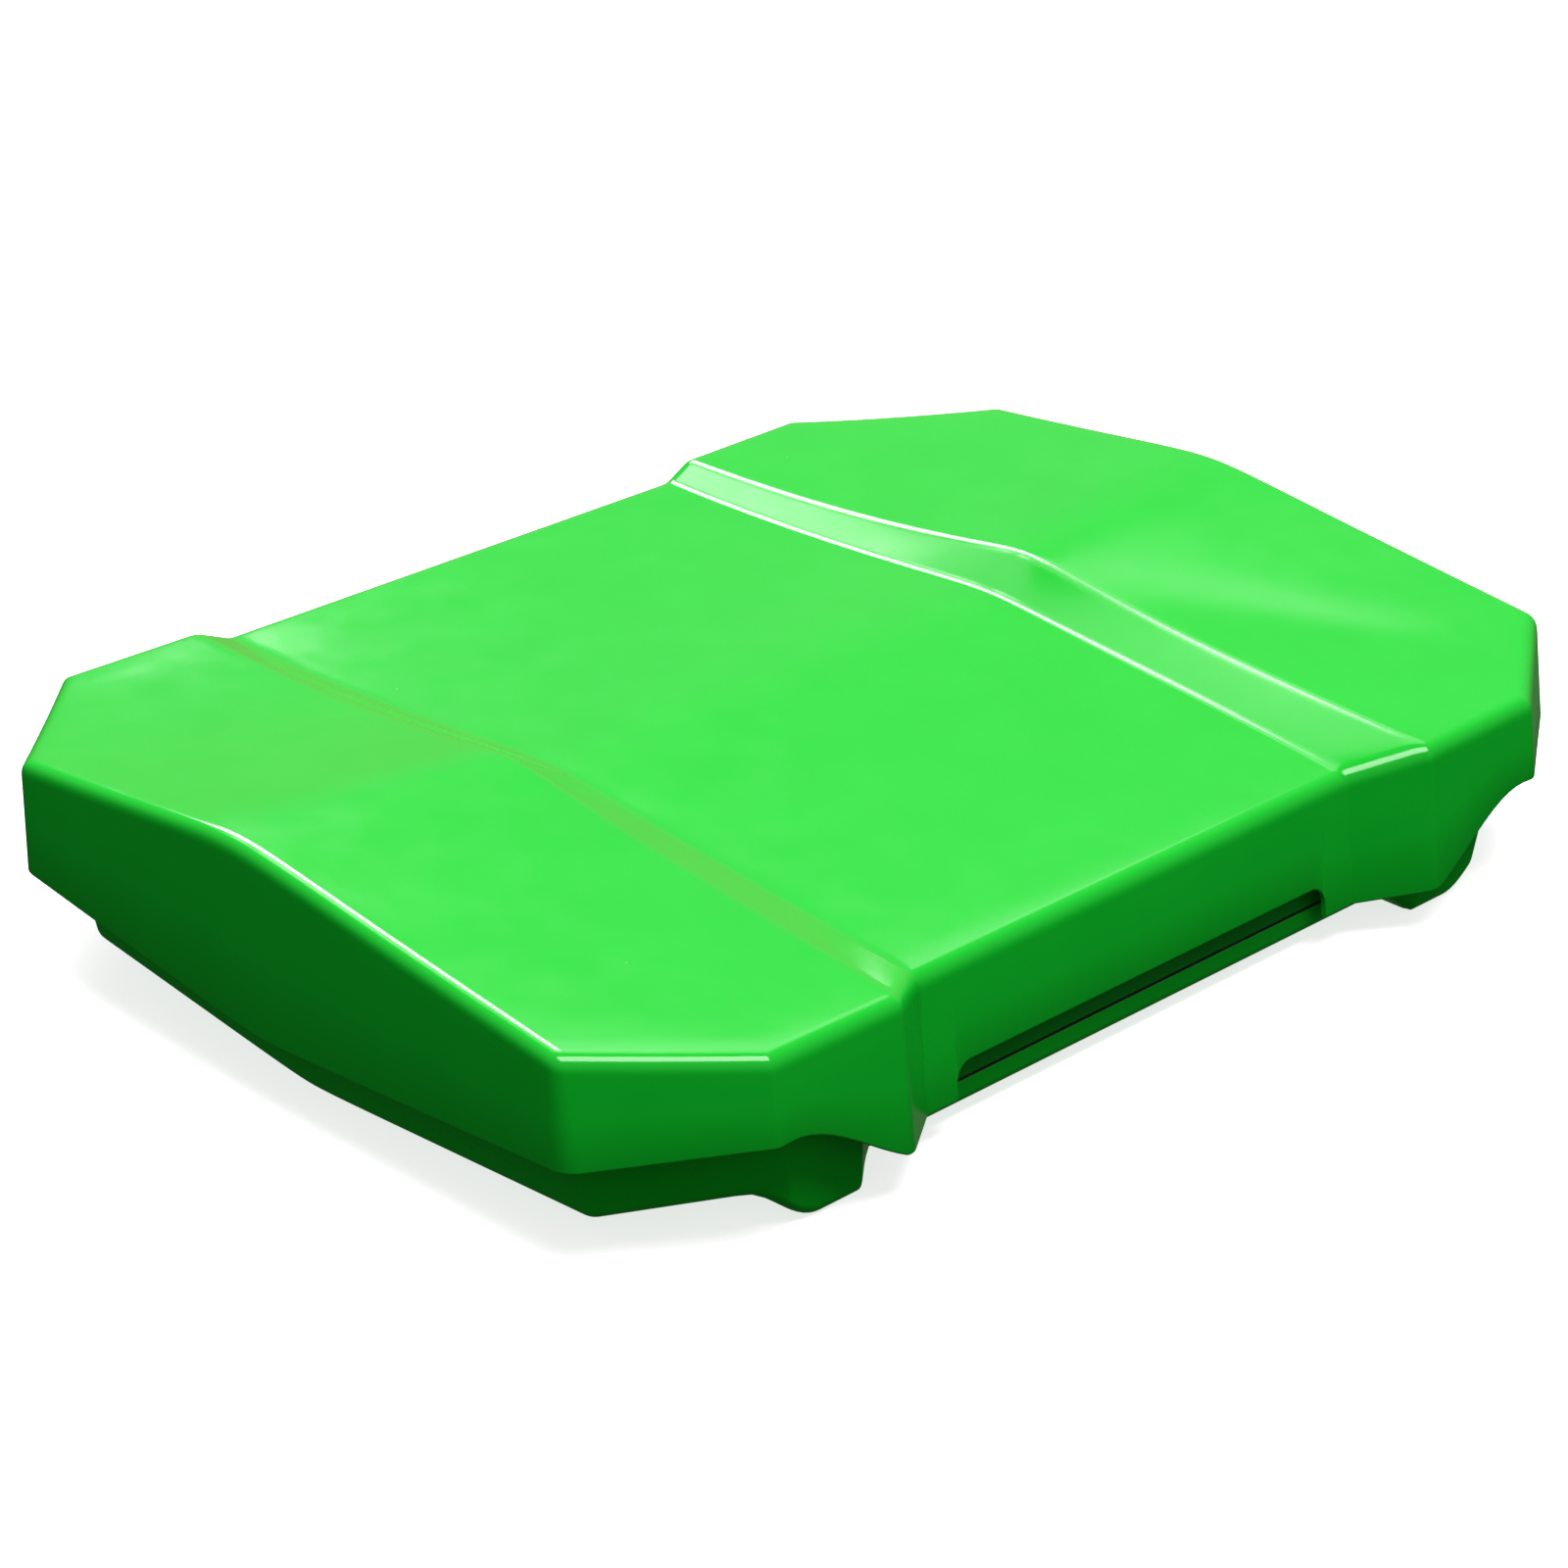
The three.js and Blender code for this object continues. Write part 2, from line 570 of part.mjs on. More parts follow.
const flangeEdge = (x, y, draft) =>
  draft * (seamHeight(x, y) - panHeight(x, y)) - PAN_WALL - FLANGE - GAP;
const waistClips = [[PAN_SIDES.right[0].x, 1], [PAN_SIDES.left[0].x, -1]].flatMap(([x, side]) =>
  CLIP.waistPlaces.map((y) => {
    const turned = side > 0 ? clip() : clip().rotateZ(Math.PI);
    return place(turned, side * (x + flangeEdge(side * x, y, PAN_DRAFT)), y, SEAM.waistZ);
  }));
const endClips = [1, -1].flatMap((end) => CLIP.endPlaces.map((x) => place(
  clip().rotateZ(end * Math.PI / 2),
  x, end * (PAN_HALF_LENGTH + flangeEdge(x, PAN_HALF_LENGTH, PAN_SIDES.endDraft) - CLIP.endPlay),
  SEAM.endZ,
)));
addEach('flange_clip', [...waistClips, ...endClips], springSteel);

// ---------------------------------------------------------------- steel frame

const panFloor = PAN_WALL + GAP;
for (const { name, x, y } of feet) {
  const block = new THREE.BoxGeometry(PLATE.length, PLATE.width, PLATE.thick);
  const plate = place(block, x, y, panFloor + PLATE.thick / 2);
  const holes = [drill(POST_HOLE, x, y, 0), ...pair(x).map((bx) => drill(BOLT.hole, bx, y, 0))];
  add(`post_plate_${name}`, cut(plate, holes), zincSteel);
}

const plateTop = panFloor + PLATE.thick + GAP;
const weldNuts = feet.map(({ x, y }) =>
  tube(WELD_NUT.radius, POST_HOLE, WELD_NUT.height, x, y, plateTop, 3));
addEach('weld_nut', weldNuts, zincSteel);
const spacerHeight = FRAME.base - GAP - plateTop;
const spacers = boltPlaces.map(([x, y]) =>
  tube(BOLT.spacer, BOLT.hole, spacerHeight, x, y, plateTop, 5));
addEach('spacer_tube', spacers, zincSteel);

const beamTop = FRAME.base + CROSS.height;
const beamLength = FRAME.rightEnd - FRAME.leftEnd;
for (const [name, y] of [['front', -FRAME.y], ['rear', FRAME.y]]) {
  const beam = alongX(squareTube(CROSS.height, CROSS.width, FRAME.wall, beamLength));
  const middle = FRAME.base + CROSS.height / 2;
  place(beam, (FRAME.leftEnd + FRAME.rightEnd) / 2, y, middle);
  const xs = [...pair(FOOT_X.left), RIDGE.x, ...pair(FOOT_X.right)];
  add(`cross_beam_${name}`, cut(beam, xs.map((x) => drill(BOLT.hole, x, y, middle))), zincSteel);
}
const frameBolts = boltPlaces.map(([x, y]) => bolt(beamTop - panFloor - GAP, x, y, beamTop + GAP));
addEach('frame_bolt', frameBolts, zincSteel);

for (const [name, side] of [['right', 1], ['left', -1]]) {
  const length = 2 * (FRAME.y - CROSS.width / 2 - GAP);
  const rail = alongY(squareTube(RAIL.size, RAIL.size, FRAME.wall, length));
  add(`side_rail_${name}`, place(rail, side * RAIL.x, 0, FRAME.base + RAIL.size / 2), zincSteel);
}

// ---------------------------------------------------------------- ridge beam, props and pads

const ridgeBottom = beamTop + GAP;
const ridgeTop = ridgeBottom + RIDGE.height;
const ridge = alongY(squareTube(RIDGE.width, RIDGE.height, FRAME.wall, 2 * RIDGE.halfLength));
const ridgeMiddle = ridgeBottom + RIDGE.height / 2;
place(ridge, RIDGE.x, 0, ridgeMiddle);
const ridgePlaces = [-FRAME.y, FRAME.y];
const ridgeHoles = ridgePlaces.map((y) => drill(BOLT.hole, RIDGE.x, y, ridgeMiddle));
add('ridge_beam', cut(ridge, ridgeHoles), zincSteel);
const ridgeBoltLength = ridgeTop + GAP - FRAME.base + NUT.height + NUT.proud;
const ridgeBolts = ridgePlaces.map((y) => bolt(ridgeBoltLength, RIDGE.x, y, ridgeTop + GAP));
addEach('ridge_bolt', ridgeBolts, zincSteel);
const nutTop = FRAME.base - GAP;
const ridgeNuts = ridgePlaces.map((y) =>
  tube(BOLT.head, NUT.bore, NUT.height, RIDGE.x, y, nutTop - NUT.height, 3));
addEach('ridge_nut', ridgeNuts, zincSteel);

// Each prop carries a rubber pad that stops just under the lowest point of the roof above it.
for (const [name, y] of Object.entries(PROP.places)) {
  const around = [0, 1, 2, 3, 4, 5, 6, 7].map((i) => i * Math.PI / 4);
  const heights = around.map((a) =>
    roofHeight(RIDGE.x + PROP.padRadius * Math.cos(a), y + PROP.padRadius * Math.sin(a)));
  const padTop = Math.min(...heights) - ROOF_WALL - BEAD_CLEAR;
  const padBottom = padTop - PROP.pad;
  const foot = ridgeTop + GAP;
  const bore = PROP.radius - PROP.wall;
  const prop = tube(PROP.radius, bore, padBottom - GAP - foot, RIDGE.x, y, foot, 5);
  add(`king_prop_${name}`, prop, zincSteel);
  add(`crown_pad_${name}`, rod(PROP.padRadius, PROP.pad, RIDGE.x, y, padBottom, 20), rubber);
}

export default hood;
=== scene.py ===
# Looks for the two-shell moulded roof hood.
#
# The two visible mouldings are rebuilt finely, with round edges and rounded rims. They stand for the
# plainer CAD shells. Every other CAD piece keeps its mesh and gets a material.
# Lengths in the tables below are millimetres, as in the CAD source. The scene is in metres.

import json
import math

import bmesh
import bpy
import numpy as np
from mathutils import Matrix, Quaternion, Vector


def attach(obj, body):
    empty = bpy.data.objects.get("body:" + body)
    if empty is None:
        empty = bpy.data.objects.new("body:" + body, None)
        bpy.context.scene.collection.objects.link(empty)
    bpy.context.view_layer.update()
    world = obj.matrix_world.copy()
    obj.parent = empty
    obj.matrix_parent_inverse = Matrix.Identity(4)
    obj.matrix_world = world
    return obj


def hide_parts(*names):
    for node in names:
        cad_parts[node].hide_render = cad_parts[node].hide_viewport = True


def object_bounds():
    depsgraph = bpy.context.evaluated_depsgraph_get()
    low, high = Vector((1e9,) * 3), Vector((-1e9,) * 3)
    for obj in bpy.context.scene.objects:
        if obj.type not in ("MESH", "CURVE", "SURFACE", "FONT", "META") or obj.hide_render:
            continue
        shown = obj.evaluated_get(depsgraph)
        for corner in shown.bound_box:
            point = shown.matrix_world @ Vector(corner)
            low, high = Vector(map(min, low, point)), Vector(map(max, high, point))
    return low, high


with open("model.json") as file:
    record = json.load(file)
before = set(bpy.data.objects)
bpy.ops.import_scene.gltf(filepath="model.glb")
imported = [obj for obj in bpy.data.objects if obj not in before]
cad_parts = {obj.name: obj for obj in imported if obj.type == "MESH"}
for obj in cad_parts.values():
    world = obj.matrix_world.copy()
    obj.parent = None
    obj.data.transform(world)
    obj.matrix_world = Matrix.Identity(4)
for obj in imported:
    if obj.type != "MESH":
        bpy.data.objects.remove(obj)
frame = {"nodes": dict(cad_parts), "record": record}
cad_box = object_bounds()

MM = 0.001

# ---------------------------------------------------------------- driving dimensions

HALF_LENGTH = 684.0
END_FACE = HALF_LENGTH - 1              # a point past this lies on the end face
ROOF_WALL, ROOF_EDGE = 6.0, 16.0        # wall, and the round between the top and the skirt
PAN_WALL, PAN_EDGE = 6.0, 13.0          # the same for the lower moulding
FLANGE, FLANGE_WALL = 18.0, 4.0         # the inward flange at the lower moulding's upper rim
KNEE = 7.0                              # half length of the bend where a step starts or ends
LIP_RADIUS = 2.4                        # rounding of the skirt's lower rim
RIM_RADIUS = 1.2                        # rounding of the lower moulding's upper rim

# The skirt's long slot: half length, top, radius of its round ends, and the sliver to each side of
# an end in which the rim drops.
NOTCH = dict(half=262.0, top=74.5, radius=20.0, sliver=0.02)
# The skirt's rim: keel and corners of the end face, crest of the chamfer, lobe and waist of the side.
SKIRT = dict(
    keel_x=14.5, keel_z=78.0, keel_soft=25.0, corner_right=107.0, corner_left=119.0,
    crest_right=117.0, crest_left=130.0, crest_y=515.0,
    lobe_z=48.0, lobe_y=368.0, lobe_rise=0.42, waist_z=40.0, waist_y=306.0,
)
# A foot along Y, its ramps, and its inner edge on each side.
FOOT = dict(start=394.0, flat=444.0, fade=515.0, ramp=33.0, lead=15.0, right=415.0, left=399.0)
# The shallow V of the underside.
PAN = dict(keel_x=18.5, keel_z=9.0, soft=25.0, waist_slope=0.0155, end_right=0.064, end_left=0.115)
PAN_HALF_LENGTH = 638.0
PAN_DRAFT = 0.08
# The lower moulding's upper rim, low at the waist and high at the ends.
SEAM = dict(waist_z=44.0, end_z=110.0, rise_start=360.0, rise_end=470.0)
POST_HOLE = 7.0                         # radius
FOOT_X = dict(right=447.0, left=-434.0)
FOOT_Y = 423.0


def waist_corners(x, draft):
    """The straight waist, divided so that the notch's round ends fall on grid rows."""
    half, radius, sliver = NOTCH["half"], NOTCH["radius"], NOTCH["sliver"]
    return [
        (x, half - radius, 0, draft, 12), (x, half - sliver, 0, draft, 10),
        (x, half + sliver, 0, draft, 1),
    ]


# Half outlines, from the middle of a side to the end face. A corner: distance from the YZ plane,
# distance from the XZ plane, radius of the upright edge, draft of the face that leads to it, and how
# many stretches that face is divided into. The first point is only where the outline starts.
ROOF_RIGHT = [
    (475.5, 0), *waist_corners(475.5, 0.118), (475.5, 302, 14, 0.118, 8),
    (524.5, 371, 8, 0.094, 18), (524.5, 530.5, 8, 0.115, 16), (414, HALF_LENGTH, 19, 0.11, 16),
]
ROOF_LEFT = [
    (518.5, 0), *waist_corners(518.5, 0.1), (518.5, 310, 14, 0.1, 8),
    (524.5, 348, 8, 0.099, 18), (524.5, 512, 8, 0.1, 16), (354.5, HALF_LENGTH, 19, 0, 16),
]
ROOF_END_DRAFT = 0.025

PAN_RIGHT = [
    (469.5, 0), (469.5, 302, 0, PAN_DRAFT, 8), (469.5, 354, 10, PAN_DRAFT, 4),
    (499, FOOT["start"], 8, 0.02, 6), (499, FOOT["flat"], 0, PAN_DRAFT, 5),
    (499, 482, 8, PAN_DRAFT, 8), (406, PAN_HALF_LENGTH, 18, 0.15, 14),
]
PAN_LEFT = [
    (475.5, 0), (475.5, 310, 0, PAN_DRAFT, 8), (475.5, 354, 10, PAN_DRAFT, 4),
    (487, FOOT["start"], 8, 0.05, 6), (487, FOOT["flat"], 0, PAN_DRAFT, 5),
    (487, 456, 8, PAN_DRAFT, 8), (310, PAN_HALF_LENGTH, 18, 0.15, 14),
]
PAN_END_DRAFT = 0.24

ARC_STEPS = 8                           # stretches in the round of an upright edge
EDGE_STEPS = 10                         # stretches in the round between a face and its wall
LIP_STEPS = 4                           # stretches in each quarter round of a rim
SHORTEST_LEG = 0.6                      # least distance from a corner to where its round starts
PARALLEL = 1e-6                         # a smaller cross product means that two lines don't meet
STRAIGHT_ON = 1 - 1e-9                  # a larger dot product means that a corner doesn't turn
FLARE_PROBE = 100.0                     # depth at which the drafts' drift is measured

# The crown in three cross-sections. Columns: the crease's x, z and softness, then the right edge's x
# and z and the slopes at the crease and at the edge, then the same four for the left.
CROWN_WAIST = np.array([-11.5, 221.5, 45, 475.5, 177.5, -0.115, -0.1, -518.5, 202, -0.09, 0.02])
CROWN_STEP = np.array([-16.5, 250.5, 30, 524.5, 200, -0.17, -0.065, -524.5, 217, -0.155, 0.01])
CROWN_END = np.array([-33.5, 267.5, 50, 524.5, 203.5, -0.135, -0.115, -524.5, 220.5, -0.12, -0.085])

# A hollow that the rear of the roof kept as it cooled, seen only in its gloss.
SINK = dict(x=295.0, y=487.0, turn=0.494, long=125.0, short=38.0, depth=2.0)

# ---------------------------------------------------------------- small formulas


def lerp(a, b, t):
    return a + (b - a) * t


def smoothstep(a, b, v):
    t = np.clip((v - a) / (b - a), 0, 1)
    return t * t * (3 - 2 * t)


def soft_distance(d, soft):
    """0 at d = 0 and |d| - soft far from it, with a round bottom."""
    return np.hypot(d, soft) - soft


def knee(d):
    """0 before a bend and d after it, joined by a parabola."""
    return np.where(d < -KNEE, 0, np.where(d > KNEE, d, (d + KNEE) ** 2 / (4 * KNEE)))


def hermite(a, b, slope_a, slope_b, span, t):
    """From a to b over a span, with the slope at each end."""
    ends = a * (1 + 2 * t) * (1 - t) ** 2 + b * t * t * (3 - 2 * t)
    return ends + span * (slope_a * t * (1 - t) ** 2 + slope_b * t * t * (t - 1))


def bezier(a, b, c, t):
    return a * (1 - t) ** 2 + b * 2 * t * (1 - t) + c * t * t


# ---------------------------------------------------------------- heights


def corner_lines(index):
    """Where the step's line through these two corners lies, as a function of x."""
    right, left = ROOF_RIGHT[index], ROOF_LEFT[index]
    return lambda x: lerp(left[1], right[1], (x + left[0]) / (left[0] + right[0]))


# A step rises from the waist's last corner to the first corner of the wide end.
STEP_FOOT, STEP_TOP = corner_lines(4), corner_lines(5)


def crown_at(x, y):
    """The cross-section's columns at a point, between the waist, the step's top and the end."""
    foot, top = STEP_FOOT(x), STEP_TOP(x)
    rise = knee(np.abs(y) - top)
    ramp = (knee(np.abs(y) - foot) - rise) / (top - foot)
    run = rise / (HALF_LENGTH - top)
    mixed = (
        CROWN_WAIST[:, None] + (CROWN_STEP - CROWN_WAIST)[:, None] * np.ravel(ramp)
        + (CROWN_END - CROWN_STEP)[:, None] * np.ravel(run)
    )
    return [row.reshape(np.shape(ramp)) for row in mixed]


def sink(x, y):
    """Depth of the hollow: a long bell, turned from +X towards +Y."""
    across, along = x - SINK["x"], y - SINK["y"]
    c, s = math.cos(SINK["turn"]), math.sin(SINK["turn"])
    u = (across * c + along * s) / SINK["long"]
    v = (along * c - across * s) / SINK["short"]
    return SINK["depth"] * np.exp(-(u * u + v * v) / 2)


def roof_height(x, y):
    """Height of the crown: one slope to each side of the crease."""
    crease, peak, soft, *sides = crown_at(x, y)
    right = x > crease
    edge_x, edge_z, fall, level = [np.where(right, r, l) for r, l in zip(sides[:4], sides[4:])]
    span = np.abs(edge_x - crease)
    t = soft_distance(x - crease, soft) / soft_distance(span, soft)
    return hermite(peak, edge_z, fall, level, span, t) - sink(x, y)


def skirt_height(x, y):
    """Height of the skirt's lower rim at a point of the outline."""
    right = x > SKIRT["keel_x"]
    away = np.abs(y)
    corner_x = np.where(right, ROOF_RIGHT[-1][0], -ROOF_LEFT[-1][0])
    corner_z = np.where(right, SKIRT["corner_right"], SKIRT["corner_left"])
    crest_z = np.where(right, SKIRT["crest_right"], SKIRT["crest_left"])
    reach = soft_distance(corner_x - SKIRT["keel_x"], SKIRT["keel_soft"])
    outward = soft_distance(x - SKIRT["keel_x"], SKIRT["keel_soft"])
    end = lerp(SKIRT["keel_z"], corner_z, outward / reach)
    past_crest = (away - SKIRT["crest_y"]) / (HALF_LENGTH - SKIRT["crest_y"])
    chamfer = lerp(crest_z, corner_z, past_crest)
    span = SKIRT["crest_y"] - SKIRT["lobe_y"]
    along = (away - SKIRT["lobe_y"]) / span
    lobe = hermite(SKIRT["lobe_z"], crest_z, SKIRT["lobe_rise"], 0, span, along)
    toward = np.clip((away - SKIRT["waist_y"]) / (SKIRT["lobe_y"] - SKIRT["waist_y"]), 0, 1)
    waist = lerp(SKIRT["waist_z"], SKIRT["lobe_z"], toward)
    into = np.clip(away - (NOTCH["half"] - NOTCH["radius"]), 0, NOTCH["radius"])
    notch = NOTCH["top"] - NOTCH["radius"] + np.sqrt(NOTCH["radius"] ** 2 - into ** 2)
    places = [
        away > END_FACE, away > SKIRT["crest_y"], away > SKIRT["lobe_y"], away < NOTCH["half"],
    ]
    return np.select(places, [end, chamfer, lobe, notch], waist)


def foot_share(x, y):
    """0 off the feet and 1 on them."""
    inner = np.where(x > 0, FOOT["right"], FOOT["left"])
    away = np.abs(y)
    across = np.clip((np.abs(x) - inner + FOOT["ramp"]) / FOOT["ramp"], 0, 1)
    lead = np.clip((away - FOOT["start"] + FOOT["lead"]) / FOOT["lead"], 0, 1)
    return across * lead * (1 - smoothstep(FOOT["flat"], FOOT["fade"], away))


def pan_height(x, y):
    """Height of the underside: a shallow V, and 0 under the feet."""
    end_slope = np.where(x > PAN["keel_x"], PAN["end_right"], PAN["end_left"])
    slope = lerp(PAN["waist_slope"], end_slope, smoothstep(FOOT["start"], FOOT["fade"], np.abs(y)))
    base = PAN["keel_z"] + slope * soft_distance(x - PAN["keel_x"], PAN["soft"])
    return base * (1 - foot_share(x, y))


def seam_height(x, y):
    """Height of the lower moulding's upper rim."""
    rise = smoothstep(SEAM["rise_start"], SEAM["rise_end"], np.abs(y))
    return lerp(SEAM["waist_z"], SEAM["end_z"], rise)


# ---------------------------------------------------------------- plan outlines


def meet(a, b):
    """Where two lines cross, each given as (point, direction)."""
    (pa, da), (pb, db) = a, b
    cross = da[0] * db[1] - da[1] * db[0]
    if abs(cross) < PARALLEL:
        return pb
    t = ((pb[0] - pa[0]) * db[1] - (pb[1] - pa[1]) * db[0]) / cross
    return pa + da * t


def side_line(corners, end_draft, offset):
    """One side of an outline, moved out by offset(draft): plan points from y = 0 to the end face."""
    edges = []
    for start, corner in zip(corners, corners[1:]):
        step = np.subtract(corner[:2], start[:2])
        step /= np.hypot(*step)
        out = offset(corner[3])
        edges.append((np.array([start[0] + step[1] * out, start[1] - step[0] * out]), step, out))
    end_out = offset(end_draft)
    last = corners[-1]
    edges.append((np.array([last[0], last[1] + end_out]), np.array([-1.0, 0.0]), end_out))

    points = [np.array([edges[0][0][0], 0.0])]
    for (_, _, radius, _, parts), before, after in zip(corners[1:], edges, edges[1:]):
        middle = meet(before[:2], after[:2])
        if before[1] @ after[1] > STRAIGHT_ON:
            middle = after[0]
        turn = math.asin(before[1][0] * after[1][1] - before[1][1] * after[1][0])
        leg = 0.0
        if radius:
            bend = radius + math.copysign(1, turn) * before[2]
            leg = max(bend * math.tan(abs(turn) / 2), SHORTEST_LEG)
        arrive, leave = middle - before[1] * leg, middle + after[1] * leg
        start = points[-1]
        for i in range(1, parts + 1):
            points.append(lerp(start, arrive, 0.5 - 0.5 * math.cos(math.pi * i / parts)))
        if radius:
            points += [bezier(arrive, middle, leave, i / ARC_STEPS) for i in range(1, ARC_STEPS + 1)]
    return np.array(points)


def columns(count, power):
    """Shares from 0 to 1, closer together near 0."""
    return np.linspace(0, 1, count) ** power


def plan_rows(right, left, end_draft, shares_out, centre, offset):
    """A grid of plan points: rows run across the part, from the left side to the right side."""
    to = side_line(right, end_draft, offset)
    start = side_line(left, end_draft, offset) * [-1, 1]
    share = (centre(to[:, 1]) - start[:, 0]) / (to[:, 0] - start[:, 0])
    inward = share[:, None] * (1 - shares_out[:0:-1])
    outward = lerp(share[:, None], 1, shares_out)
    shares = np.concatenate([inward, outward], 1)[:, :, None]
    half = lerp(start[:, None, :], to[:, None, :], shares)
    return np.concatenate([half[:0:-1] * [1, -1], half])


def border(rows):
    """The outermost points of a grid, as one loop."""
    return np.concatenate([rows[:, -1], rows[-1, -2:0:-1], rows[::-1, 0], rows[0, 1:-1]])


# ---------------------------------------------------------------- meshes

WELD = 2e-6                             # metres within which two points are one
SHORTEST_EDGE = 1e-7                    # metres
CRISP_ANGLE = math.radians(38)          # a sharper edge isn't smoothed over


class Sheets:
    """Vertices and quads collected for one closed mesh."""

    def __init__(self):
        self.points, self.quads, self.count = [], [], 0

    def block(self, points):
        """Adds a grid of points and gives back the grid of their numbers."""
        flat = points.reshape(-1, 3)
        first = self.count
        self.points.append(flat)
        self.count += len(flat)
        return first + np.arange(len(flat)).reshape(points.shape[:-1])

    def band(self, grid):
        """Adds the quads between a grid's neighbouring points."""
        corners = [grid[:-1, :-1], grid[:-1, 1:], grid[1:, 1:], grid[1:, :-1]]
        self.quads.append(np.stack([c.ravel() for c in corners], 1))

    def loops(self, ids):
        """The same where each row closes on itself."""
        self.band(np.concatenate([ids, ids[:, :1]], 1))


def moulding(right, left, end_draft, shares_out, centre, height, rim, wall, edge, grow, lip):
    """A face with a rounded edge and a drafted wall, the same inside it, and a lip between them.

    grow is -1 where the walls run down from the face, and 1 where they run up."""

    def plan(offset):
        return plan_rows(right, left, end_draft, shares_out, centre, offset)

    inset = plan(lambda draft: -edge)
    sharp = border(plan(lambda draft: 0.0))
    flared = border(plan(lambda draft: draft * FLARE_PROBE))
    drift = (flared - sharp) / FLARE_PROBE
    rims = rim(sharp[:, 0], sharp[:, 1])
    depths = np.abs(rims - height(sharp[:, 0], sharp[:, 1]))

    def rim_loop(depth_in, lift):
        flat = border(plan(lambda draft: -depth_in)) + drift * depths[:, None]
        return np.column_stack([flat, rims + lift])

    def sheet(thickness, last):
        lift = thickness * grow
        face = np.dstack([inset, height(inset[..., 0], inset[..., 1]) + lift])
        corner = border(plan(lambda draft: -thickness))
        top = height(corner[:, 0], corner[:, 1]) + lift

        def level(down):
            return np.column_stack([corner + drift * down, top + down * grow])

        start, handle, arrive = border(face), level(0), level(edge - thickness)
        rounded = [bezier(start, handle, arrive, i / EDGE_STEPS) for i in range(1, EDGE_STEPS + 1)]
        return face, [start, *rounded, lerp(arrive, last, 0.5), last]

    lips = [rim_loop(*place) for place in lip]
    outer_face, outer = sheet(0.0, lips[0])
    inner_face, inner = sheet(wall, lips[-1])
    sheets = Sheets()
    for face in (outer_face, inner_face):
        sheets.band(sheets.block(face))
    sheets.loops(sheets.block(np.array([*outer, *lips[1:-1], *inner[::-1]])))
    return sheets


def clamp_to_cad(points):
    """The points, kept inside the CAD model's box."""
    low, high = [np.array(corner) for corner in cad_box]
    return np.clip(points, low, high)


def smooth(mesh):
    mesh.shade_smooth()
    mesh.set_sharp_from_angle(angle=CRISP_ANGLE)


def to_object(name, sheets, material):
    """One welded, closed mesh that rides on the part, smooth apart from its crisp edges."""
    points = clamp_to_cad(np.concatenate(sheets.points) * MM)
    mesh = bpy.data.meshes.new(name)
    mesh.from_pydata(points.tolist(), [], np.concatenate(sheets.quads).tolist())
    work = bmesh.new()
    work.from_mesh(mesh)
    bmesh.ops.remove_doubles(work, verts=work.verts, dist=WELD)
    bmesh.ops.dissolve_degenerate(work, edges=work.edges, dist=SHORTEST_EDGE)
    bmesh.ops.recalc_face_normals(work, faces=work.faces)
    work.to_mesh(mesh)
    work.free()
    smooth(mesh)
    mesh.materials.append(material)
    piece = bpy.data.objects.new(name, mesh)
    bpy.context.scene.collection.objects.link(piece)
    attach(piece, "root")
    return piece


def round_lip(wall, radius, grow):
    """Places across a rim, as (depth in from the outside, lift): a quarter round at each side."""
    turns = [math.pi / 2 * i / LIP_STEPS for i in range(LIP_STEPS + 1)]
    first = [(radius * (1 - math.cos(a)), -grow * radius * (1 - math.sin(a))) for a in turns]
    return first + [(wall - depth, lift) for depth, lift in reversed(first)]


# ---------------------------------------------------------------- materials


def new_material(name):
    material = bpy.data.materials.new(name)
    material.use_nodes = True
    tree = material.node_tree
    return material, tree, tree.nodes["Principled BSDF"]


def coordinates(tree, scale=(1, 1, 1)):
    """Places on the part in metres, times the scale."""
    source = tree.nodes.new("ShaderNodeTexCoord")
    mapping = tree.nodes.new("ShaderNodeMapping")
    mapping.inputs["Scale"].default_value = scale
    tree.links.new(source.outputs["Object"], mapping.inputs["Vector"])
    return mapping.outputs["Vector"]


def noise(tree, vector, scale, detail):
    node = tree.nodes.new("ShaderNodeTexNoise")
    node.inputs["Scale"].default_value = scale
    node.inputs["Detail"].default_value = detail
    tree.links.new(vector, node.inputs["Vector"])
    return node.outputs["Fac"]


def remap(tree, value, source, target=(0.0, 1.0)):
    """Takes the source range to the target range and stops at its ends."""
    node = tree.nodes.new("ShaderNodeMapRange")
    names = ("From Min", "From Max", "To Min", "To Max")
    for name, number in zip(names, (*source, *target)):
        node.inputs[name].default_value = number
    tree.links.new(value, node.inputs["Value"])
    return node.outputs["Result"]


def mix_colour(tree, factor, first, second):
    """first and second are colours or outputs."""
    node = tree.nodes.new("ShaderNodeMix")
    node.data_type = "RGBA"
    for socket, value in ((node.inputs[6], first), (node.inputs[7], second)):
        if isinstance(value, tuple):
            socket.default_value = (*value, 1)
        else:
            tree.links.new(value, socket)
    tree.links.new(factor, node.inputs[0])
    return node.outputs[2]


def combine(tree, operation, first, second):
    node = tree.nodes.new("ShaderNodeMath")
    node.operation = operation
    tree.links.new(first, node.inputs[0])
    tree.links.new(second, node.inputs[1])
    return node.outputs[0]


def add(tree, first, second):
    return combine(tree, "ADD", first, second)


def multiply(tree, first, second):
    return combine(tree, "MULTIPLY", first, second)


def bump(tree, shader, height, strength, distance):
    """Relief in the shader's normal. distance is in metres."""
    node = tree.nodes.new("ShaderNodeBump")
    node.inputs["Strength"].default_value = strength
    node.inputs["Distance"].default_value = distance
    tree.links.new(height, node.inputs["Height"])
    tree.links.new(node.outputs["Normal"], shader.inputs["Normal"])


